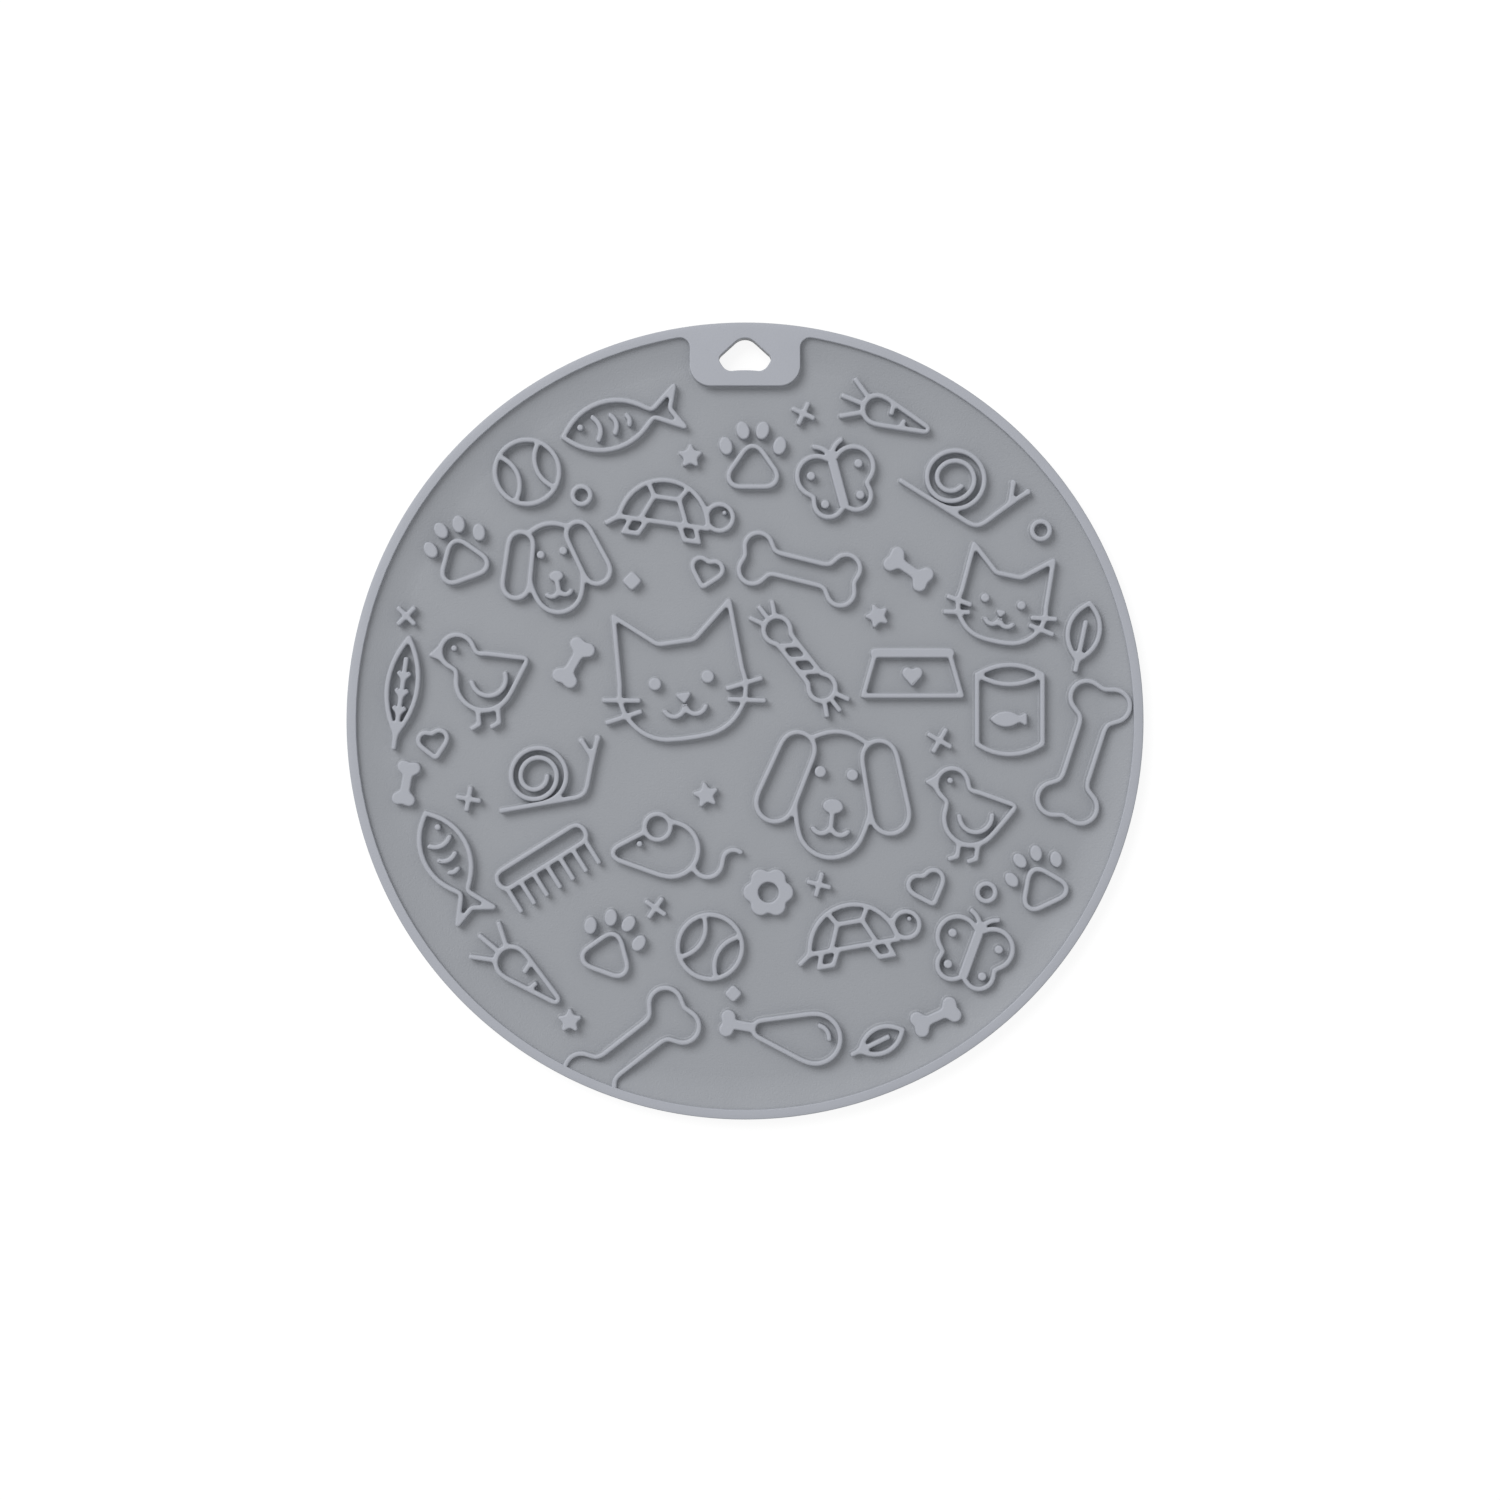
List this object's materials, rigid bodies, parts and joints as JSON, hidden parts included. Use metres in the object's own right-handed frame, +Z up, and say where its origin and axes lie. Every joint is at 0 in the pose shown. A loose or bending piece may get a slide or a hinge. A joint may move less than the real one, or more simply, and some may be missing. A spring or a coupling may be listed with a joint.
{
  "type": "lick mat",
  "caption": "Round grey silicone lick mat for pets: a flat sheet with a raised rim, a hang tab and a relief of raised line figures that holds soft food.",
  "frame": {"origin": "centre of the flat underside", "axes": "+Z up out of the licking side, +Y from the centre to the hang tab"},
  "size_m": [0.2, 0.2, 0.0045],
  "materials": {
    "silicone": "matte moulded silicone rubber with a faint sheen"
  },
  "bodies": {
    "root": {"base_disc": "silicone", "rim": "silicone", "hang_tab": "silicone", "balls": "silicone", "birds": "silicone", "bones": "silicone", "butterflies": "silicone", "carrots": "silicone", "cat_heads": "silicone", "comb": "silicone", "crosses": "silicone", "diamonds": "silicone", "dog_heads": "silicone", "drumstick": "silicone", "feather": "silicone", "fish": "silicone", "flower": "silicone", "food_bowl": "silicone", "food_tin": "silicone", "hearts": "silicone", "leaves": "silicone", "paw_prints": "silicone", "rings": "silicone", "rope_toy": "silicone", "small_bones": "silicone", "snails": "silicone", "stars": "silicone", "toy_mouse": "silicone", "turtles": "silicone"}
  },
  "joints": []
}
